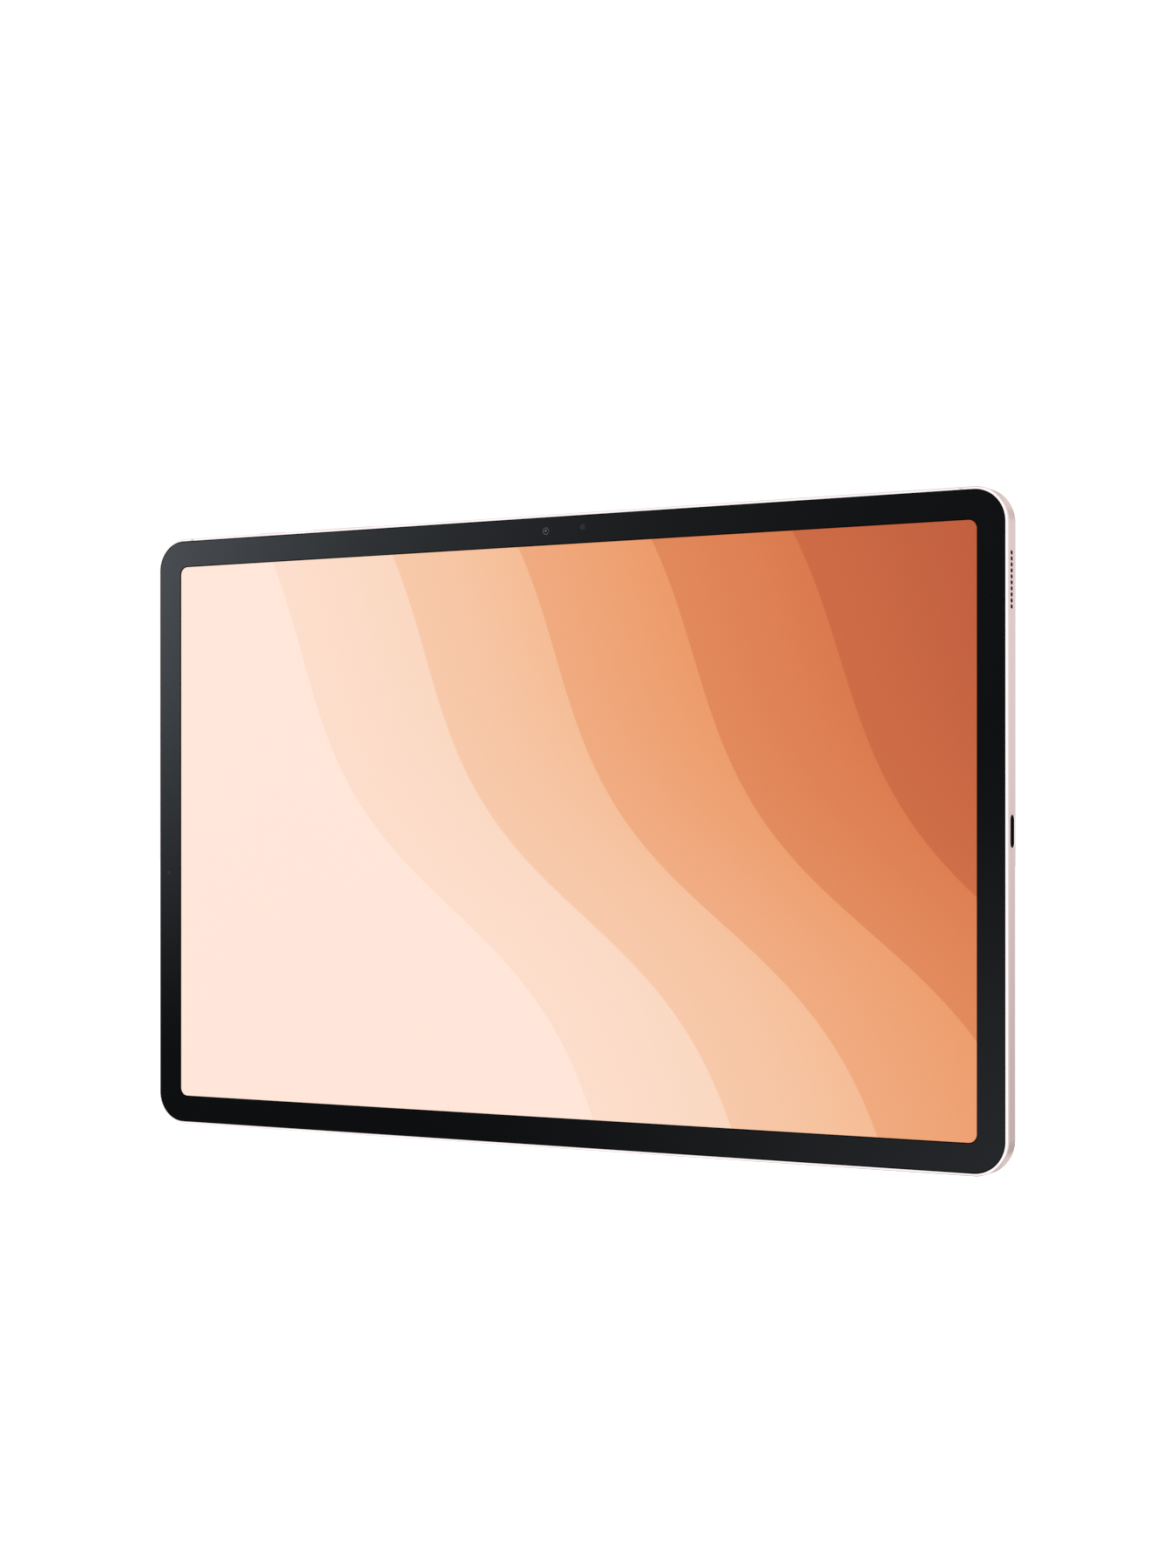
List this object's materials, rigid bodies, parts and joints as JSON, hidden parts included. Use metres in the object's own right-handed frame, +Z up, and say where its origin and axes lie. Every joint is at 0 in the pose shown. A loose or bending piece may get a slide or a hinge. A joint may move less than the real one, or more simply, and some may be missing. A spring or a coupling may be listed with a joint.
{
  "type": "tablet computer",
  "caption": "Thin slate tablet computer with a full-width touch screen, a metal shell, edge keys, a card tray and a raised rear camera.",
  "frame": {"origin": "centre of the screen, on the front of the cover glass", "axes": "+X to the right as the user faces the screen, along the long edge; +Y into the body and out of its back, so the screen faces -Y; +Z up, towards the edge with the keys"},
  "size_m": [0.2848, 0.0077, 0.1853],
  "materials": {
    "anodised_pink": "bead-blasted, anodised pale pink",
    "antenna_pink": "moulded, matched to the metal",
    "cover_glass": "polished",
    "border_black": "printed ink",
    "black_tape": "foam tape",
    "clear_bond": "optical adhesive",
    "display_panel": "lit liquid-crystal cell",
    "light_guide": "moulded acrylic and films",
    "bright_steel": "pressed and plated",
    "sensor_film": "laminated film",
    "flex_circuit": "polyimide film",
    "lens_black": "moulded",
    "lens_glass": "coated",
    "island_black": "back-printed glass",
    "chip_black": "moulded epoxy",
    "key_pink": "anodised pale pink",
    "switch_steel": "pressed",
    "seal_rubber": "moulded",
    "speaker_black": "moulded",
    "cone_fibre": "pressed fibre",
    "surround_rubber": "moulded",
    "magnet_nickel": "nickel plated",
    "mesh_black": "woven",
    "board_green": "solder mask",
    "graphite": "graphite foil",
    "pouch_silver": "laminated pouch",
    "contact_gold": "gold plated",
    "antenna_plastic": "moulded with plated traces",
    "pen_strip_pink": "satin film"
  },
  "bodies": {
    "tablet": {"rear_housing": "anodised_pink", "antenna_bands": "antenna_pink", "cover_glass": "cover_glass", "border_print": "border_black", "glass_adhesive": "black_tape", "optical_bond": "clear_bond", "display_cell": "display_panel", "backlight": "light_guide", "display_tray": "bright_steel", "pen_sensor_sheet": "sensor_film", "display_flex": "flex_circuit", "front_camera": "lens_black", "front_camera_lens": "lens_glass", "light_sensors": "chip_black", "front_flexes": "flex_circuit", "camera_island": "anodised_pink", "island_glass": "island_black", "lens_window": "lens_glass", "lens_ring": "key_pink", "camera_module": "lens_black", "camera_flex": "flex_circuit", "key_switches": "switch_steel", "key_bracket": "bright_steel", "key_flex": "flex_circuit", "tray_socket": "bright_steel", "lever_pin": "switch_steel", "usb_shell": "bright_steel", "usb_tongue": "lens_black", "usb_board": "board_green", "board_flexes": "flex_circuit", "speaker_box_right": "speaker_black", "speaker_box_left": "speaker_black", "speaker_surrounds": "surround_rubber", "speaker_magnets": "magnet_nickel", "dust_meshes": "mesh_black", "main_board": "board_green", "board_shields": "bright_steel", "chips": "chip_black", "thermal_sheet": "graphite", "battery_cells": "pouch_silver", "battery_adhesive": "black_tape", "battery_board": "board_green", "dock_block": "lens_black", "dock_contacts": "contact_gold", "microphones": "switch_steel", "pen_strip": "pen_strip_pink", "magnets": "magnet_nickel", "antennas": "antenna_plastic", "antenna_cables": "speaker_black", "screws": "switch_steel"},
    "power_button": {"power_button": "key_pink"},
    "volume_key": {"volume_key": "key_pink"},
    "card_tray": {"card_tray": "key_pink", "tray_seal": "seal_rubber"},
    "eject_rod": {"eject_rod": "switch_steel"},
    "eject_lever": {"eject_lever": "switch_steel"},
    "focus_barrel": {"focus_barrel": "lens_black"},
    "speaker_cone_right": {"speaker_cone_right": "cone_fibre"},
    "speaker_cone_left": {"speaker_cone_left": "cone_fibre"}
  },
  "joints": [
    {"name": "power_press", "type": "slide", "parent": "tablet", "child": "power_button", "axis": [0, 0, -1], "range_m": [0, 0.0003]},
    {"name": "volume_rock", "type": "hinge", "parent": "tablet", "child": "volume_key", "pos_m": [-0.0735, 0.003, 0.0912], "axis": [0, 1, 0], "range_deg": [-1.2, 1.2]},
    {"name": "tray_pull", "type": "slide", "parent": "tablet", "child": "card_tray", "axis": [0, 0, 1], "range_m": [0, 0.045]},
    {"name": "eject_push", "type": "slide", "parent": "tablet", "child": "eject_rod", "axis": [0, 0, -1], "range_m": [0, 0.002]},
    {"name": "eject_lever_turn", "type": "hinge", "parent": "tablet", "child": "eject_lever", "pos_m": [-0.0342, 0.003, 0.0548], "axis": [0, 1, 0], "range_deg": [0, 34.5]},
    {"name": "focus_shift", "type": "slide", "parent": "tablet", "child": "focus_barrel", "axis": [0, 1, 0], "range_m": [0, 0.0003]},
    {"name": "cone_right_travel", "type": "slide", "parent": "tablet", "child": "speaker_cone_right", "axis": [0, 1, 0], "range_m": [-0.00025, 0.00025]},
    {"name": "cone_left_travel", "type": "slide", "parent": "tablet", "child": "speaker_cone_left", "axis": [0, 1, 0], "range_m": [-0.00025, 0.00025]}
  ],
  "couplings": [
    {"joint": "eject_lever_turn", "follows": "eject_push", "rad_per_m": 300}
  ]
}
